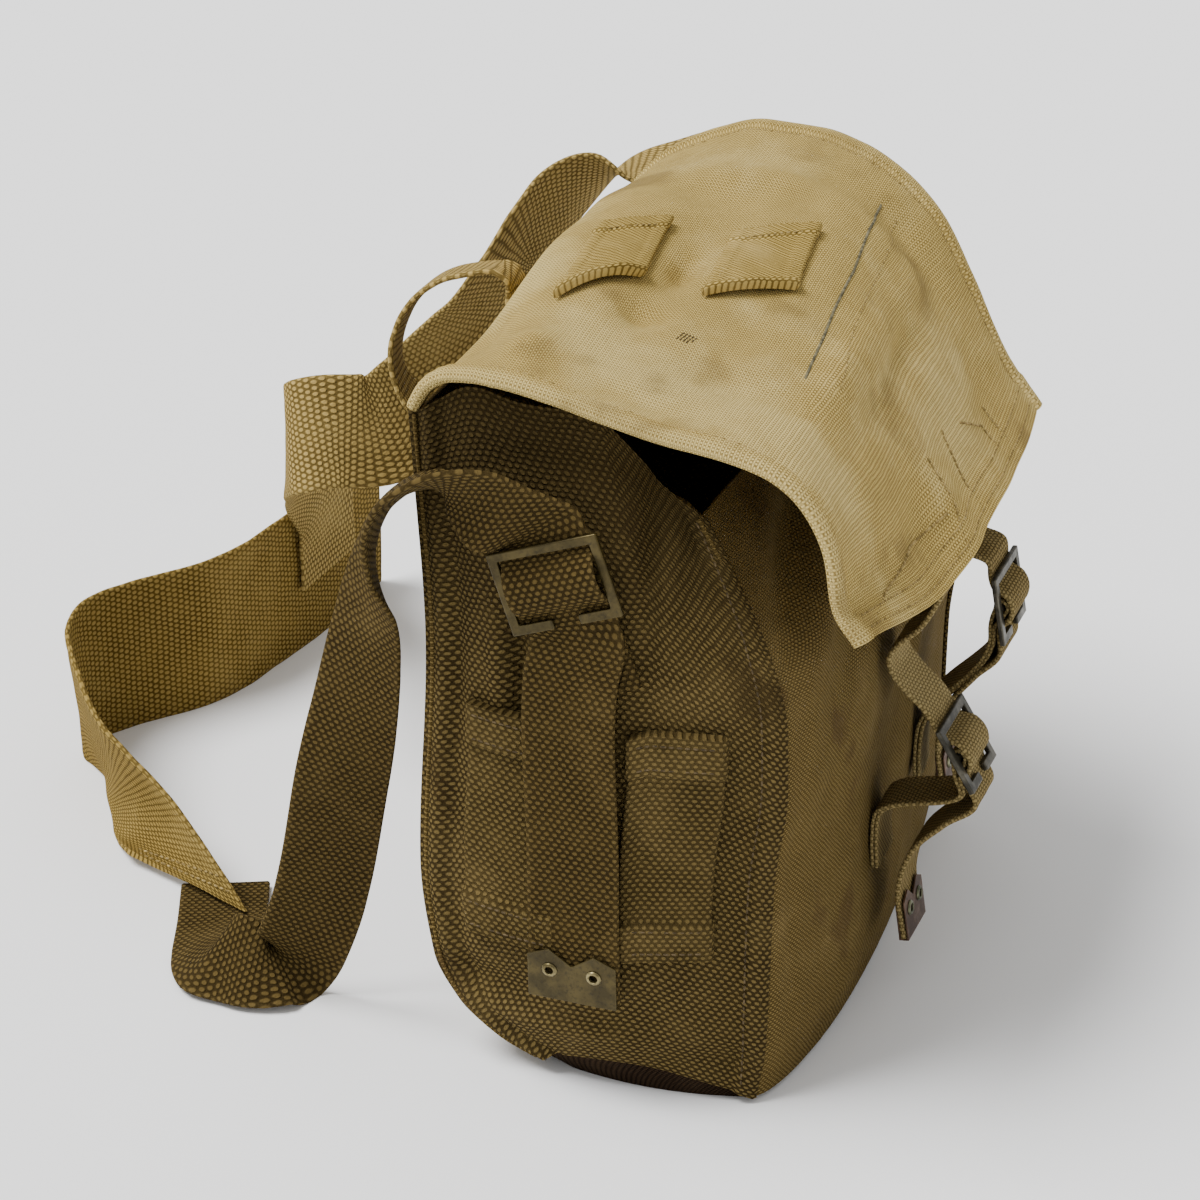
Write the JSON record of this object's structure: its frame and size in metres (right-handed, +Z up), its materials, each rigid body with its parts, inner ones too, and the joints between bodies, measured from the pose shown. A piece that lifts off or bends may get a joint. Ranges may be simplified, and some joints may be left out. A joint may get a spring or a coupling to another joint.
{
  "type": "haversack",
  "caption": "Soft canvas haversack with deep woven gussets, a loose lid drawn down by buckled straps, a rear carrying loop and a shoulder sling lying beside it.",
  "frame": {"origin": "middle of the base panel, on the surface that the bag stands on", "axes": "+Z up; X along the bag from gusset to gusset, the near gusset at -X; the front with the closures faces -Y and the sling lies on the ground at +Y"},
  "size_m": [0.4324, 0.4615, 0.334],
  "materials": {
    "canvas_lid": "matte worn cotton canvas, sun faded tan",
    "canvas_body": "matte cotton canvas, tan olive",
    "webbing_dark": "matte thick woven cotton webbing, olive brown",
    "webbing_light": "matte woven cotton webbing, faded khaki",
    "brass_fittings": "dull aged brass, satin",
    "dark_buckles": "dark grey green metal, satin",
    "brown_chapes": "dark reddish brown aged metal, satin"
  },
  "bodies": {
    "root": {"front_panel": "canvas_body", "back_panel": "canvas_body", "gusset_near": "webbing_dark", "gusset_far": "webbing_dark", "base_panel": "canvas_body", "lid": "canvas_lid", "gusset_loop_near_back": "webbing_dark", "gusset_loop_near_front": "webbing_dark", "gusset_loop_far_back": "webbing_dark", "gusset_loop_far_front": "webbing_dark", "lid_keeper_back": "canvas_lid", "lid_keeper_front": "canvas_lid", "side_buckle_near": "brass_fittings", "side_tab_near": "webbing_dark", "side_chape_near": "brass_fittings", "side_chape_near_eyelet_a": "brass_fittings", "side_chape_near_eyelet_b": "brass_fittings", "side_buckle_far": "brass_fittings", "side_tab_far": "webbing_dark", "side_chape_far": "brass_fittings", "side_chape_far_eyelet_a": "brass_fittings", "side_chape_far_eyelet_b": "brass_fittings", "sling_near_strap": "webbing_dark", "shoulder_band": "webbing_light", "sling_far_strap": "webbing_light", "carry_loop": "webbing_light", "closure_buckle_near": "dark_buckles", "closure_tab_near": "webbing_dark", "closure_strap_near": "webbing_dark", "closure_chape_near": "brown_chapes", "closure_chape_near_eyelet_a": "brown_chapes", "closure_chape_near_eyelet_b": "brown_chapes", "closure_buckle_far": "dark_buckles", "closure_tab_far": "webbing_dark", "closure_strap_far": "webbing_dark", "closure_chape_far": "brown_chapes", "closure_chape_far_eyelet_a": "brown_chapes", "closure_chape_far_eyelet_b": "brown_chapes", "weather_flap_near": "webbing_dark", "weather_flap_far": "webbing_dark"}
  },
  "joints": []
}
